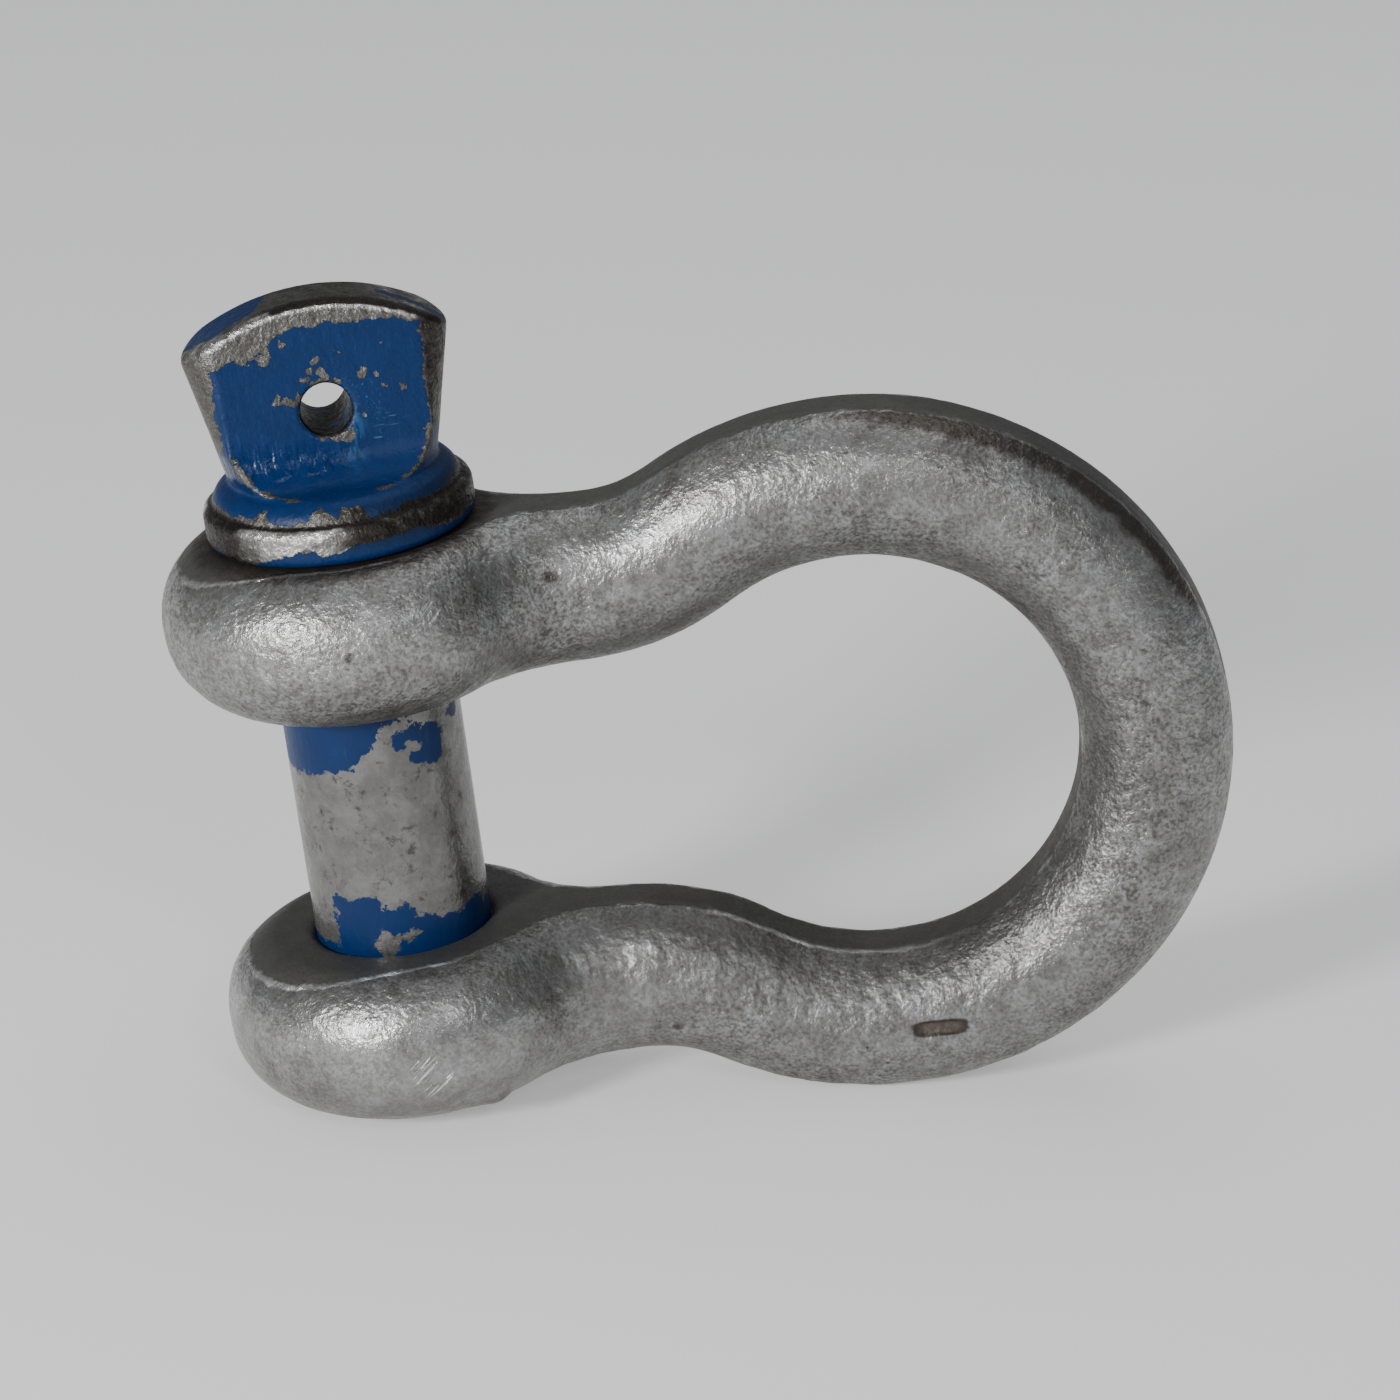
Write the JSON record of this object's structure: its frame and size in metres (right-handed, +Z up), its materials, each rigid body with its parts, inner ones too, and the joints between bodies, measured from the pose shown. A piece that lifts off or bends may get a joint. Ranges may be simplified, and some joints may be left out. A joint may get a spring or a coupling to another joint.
{
  "type": "screw pin bow shackle",
  "caption": "Bow shackle: a forged bow with two ears, closed by a screw pin with a collar and a flat paddle head with an eye for a securing wire.",
  "frame": {"origin": "on the level surface that the shackle stands on, midway between the rims of the ears and the crown, in the plane of the bow", "axes": "+X along the bow from the ears to the crown, +Y across the plane of the bow, +Z up, towards the pin's head. The pin's axis lies in the XZ plane and leans back from +Z by the angle at which the shackle rests"},
  "size_m": [0.131, 0.0468, 0.1032],
  "materials": {
    "galvanised_steel": "hot dip galvanised, weathered to a dull uneven grey",
    "blue_paint": "glossy blue paint on a galvanised forging, worn through to grey metal along the edges and over most of the shank"
  },
  "bodies": {
    "bow": {"bow": "galvanised_steel"},
    "pin": {"screw_pin": "blue_paint"}
  },
  "joints": [
    {"name": "pin_draw", "type": "slide", "parent": "bow", "child": "pin", "axis": [-0.115, 0, 0.9934], "range_m": [0, 0.08]}
  ]
}
